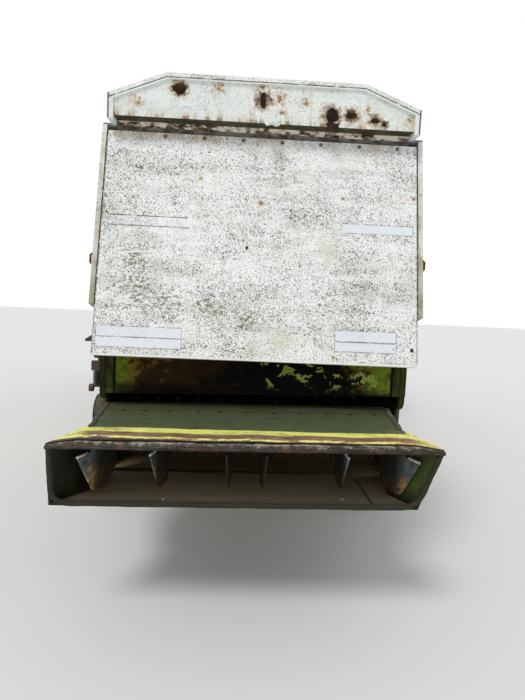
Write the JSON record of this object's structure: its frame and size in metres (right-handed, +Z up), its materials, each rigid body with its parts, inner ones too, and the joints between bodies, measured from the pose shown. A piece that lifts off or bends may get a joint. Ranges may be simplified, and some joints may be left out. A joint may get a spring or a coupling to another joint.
{
  "type": "combine harvester",
  "caption": "Worn self-propelled combine harvester with straw hood, chopper and spreader, grain tank, cab, unloading auger and a cutting header with its reel.",
  "frame": {"origin": "on the ground under the middle of the machine's outline", "axes": "X to the machine's right, Y forward, Z up"},
  "size_m": [4.572, 9.49, 3.925],
  "materials": {
    "body_green": "worn lime green paint with dirt",
    "hood_white": "worn white paint flaking to rust",
    "rust": "rusted steel",
    "dark_steel": "dark oily steel",
    "glass": "clear tinted",
    "seat_vinyl": "black vinyl",
    "rim_red": "faded red paint",
    "tyre": "dusty black rubber",
    "rubber": "weathered black rubber",
    "galvanised": "dull galvanised sheet",
    "reel_red": "faded red paint"
  },
  "bodies": {
    "chassis": {"threshing_body": "body_green", "axle_carrier": "dark_steel", "front_axle": "dark_steel", "rear_axle": "dark_steel", "engine_block": "dark_steel", "engine_cover": "hood_white", "exhaust_stack": "rust", "grain_tank": "body_green", "tank_fill_auger": "galvanised", "cab_frame": "hood_white", "cab_roof": "hood_white", "cab_glass": "glass", "driver_seat": "seat_vinyl", "steering_column": "dark_steel", "platform_ladder": "body_green", "work_lamps": "dark_steel", "fuel_tank": "dark_steel", "elevators": "body_green", "belt_drives": "dark_steel", "side_shields": "body_green", "straw_walkers": "galvanised", "hood_sides": "hood_white", "hood_cap": "hood_white", "hood_gable": "hood_white", "flap_seal": "rubber", "chopper_housing": "body_green", "belt_tensioner": "rust", "unload_riser": "body_green"},
    "dust_screen": {"dust_screen": "dark_steel"},
    "cab_door": {"cab_door": "hood_white", "cab_door_glass": "glass"},
    "hood_flap": {"hood_flap": "hood_white"},
    "chopper_rotor": {"chopper_rotor": "dark_steel"},
    "spreader": {"spreader_shell": "body_green", "spreader_vanes": "galvanised", "spreader_lip": "rust"},
    "unloader": {"unload_tube": "body_green", "unload_spout": "rubber"},
    "wheel_front_left": {"tyre_front_left": "tyre", "rim_front_left": "rim_red"},
    "wheel_front_right": {"tyre_front_right": "tyre", "rim_front_right": "rim_red"},
    "wheel_rear_left": {"tyre_rear_left": "tyre", "rim_rear_left": "rim_red"},
    "wheel_rear_right": {"tyre_rear_right": "tyre", "rim_rear_right": "rim_red"},
    "knuckle_left": {"knuckle_left": "dark_steel"},
    "knuckle_right": {"knuckle_right": "dark_steel"},
    "tie_rod": {"tie_rod": "dark_steel"},
    "feeder": {"feeder_house": "body_green", "header_trough": "body_green", "cutter_bar": "rust"},
    "lift_barrels": {"lift_barrels": "dark_steel"},
    "lift_rods": {"lift_rods": "galvanised"},
    "header_auger": {"header_auger": "galvanised"},
    "reel_arms": {"reel_arms": "reel_red"},
    "reel": {"reel": "reel_red"}
  },
  "joints": [
    {"name": "front_left_spin", "type": "hinge", "parent": "chassis", "child": "wheel_front_left", "pos_m": [-1.345, 1.285, 0.88], "axis": [-1, 0, 0], "continuous": true},
    {"name": "front_right_spin", "type": "hinge", "parent": "chassis", "child": "wheel_front_right", "pos_m": [1.345, 1.285, 0.88], "axis": [-1, 0, 0], "continuous": true},
    {"name": "steer_left", "type": "hinge", "parent": "chassis", "child": "knuckle_left", "pos_m": [-0.83, -2.465, 0.54], "axis": [0, 0, 1], "range_deg": [-35, 35]},
    {"name": "steer_right", "type": "hinge", "parent": "chassis", "child": "knuckle_right", "pos_m": [0.83, -2.465, 0.54], "axis": [0, 0, 1], "range_deg": [-35, 35]},
    {"name": "tie_rod_swing", "type": "hinge", "parent": "knuckle_left", "child": "tie_rod", "pos_m": [-0.83, -2.665, 0.44], "axis": [0, 0, 1], "range_deg": [-35, 35]},
    {"name": "rear_left_spin", "type": "hinge", "parent": "knuckle_left", "child": "wheel_rear_left", "pos_m": [-1.05, -2.465, 0.45], "axis": [-1, 0, 0], "continuous": true},
    {"name": "rear_right_spin", "type": "hinge", "parent": "knuckle_right", "child": "wheel_rear_right", "pos_m": [1.05, -2.465, 0.45], "axis": [-1, 0, 0], "continuous": true},
    {"name": "feeder_lift", "type": "hinge", "parent": "chassis", "child": "feeder", "pos_m": [0, 2.285, 1.65], "axis": [1, 0, 0], "range_deg": [0, 28]},
    {"name": "lift_barrel_swing", "type": "hinge", "parent": "chassis", "child": "lift_barrels", "pos_m": [0, 1.585, 0.8], "axis": [1, 0, 0], "range_deg": [0, 20]},
    {"name": "lift_rod_slide", "type": "slide", "parent": "lift_barrels", "child": "lift_rods", "axis": [0, 0.9844, -0.1758], "range_m": [0, 0.45]},
    {"name": "header_auger_spin", "type": "hinge", "parent": "feeder", "child": "header_auger", "pos_m": [0, 3.755, 0.49], "axis": [1, 0, 0], "continuous": true},
    {"name": "reel_lift", "type": "hinge", "parent": "feeder", "child": "reel_arms", "pos_m": [0, 3.465, 1.25], "axis": [1, 0, 0], "range_deg": [0, 20]},
    {"name": "reel_spin", "type": "hinge", "parent": "reel_arms", "child": "reel", "pos_m": [0, 4.245, 1.17], "axis": [1, 0, 0], "continuous": true},
    {"name": "unload_swing", "type": "hinge", "parent": "chassis", "child": "unloader", "pos_m": [-1.31, 0.805, 2.255], "axis": [0, 0, -1], "range_deg": [0, 100]},
    {"name": "cab_door_swing", "type": "hinge", "parent": "chassis", "child": "cab_door", "pos_m": [-0.765, 1.585, 2.885], "axis": [0, 0, 1], "range_deg": [0, 100]},
    {"name": "hood_flap_swing", "type": "hinge", "parent": "chassis", "child": "hood_flap", "pos_m": [0, -4.146, 2.493], "axis": [-1, 0, 0], "range_deg": [0, 75]},
    {"name": "chopper_spin", "type": "hinge", "parent": "chassis", "child": "chopper_rotor", "pos_m": [0, -3.885, 0.905], "axis": [1, 0, 0], "continuous": true},
    {"name": "spreader_tilt", "type": "hinge", "parent": "chassis", "child": "spreader", "pos_m": [0, -4.165, 1.085], "axis": [1, 0, 0], "range_deg": [-15, 8]},
    {"name": "dust_screen_spin", "type": "hinge", "parent": "chassis", "child": "dust_screen", "pos_m": [0.7, -1.565, 2.53], "axis": [1, 0, 0], "continuous": true}
  ],
  "couplings": [
    {"joint": "steer_right", "follows": "steer_left", "ratio": 1},
    {"joint": "tie_rod_swing", "follows": "steer_left", "ratio": -1},
    {"joint": "lift_barrel_swing", "follows": "feeder_lift", "ratio": 0.559},
    {"joint": "lift_rod_slide", "follows": "feeder_lift", "m_per_rad": 0.89}
  ]
}
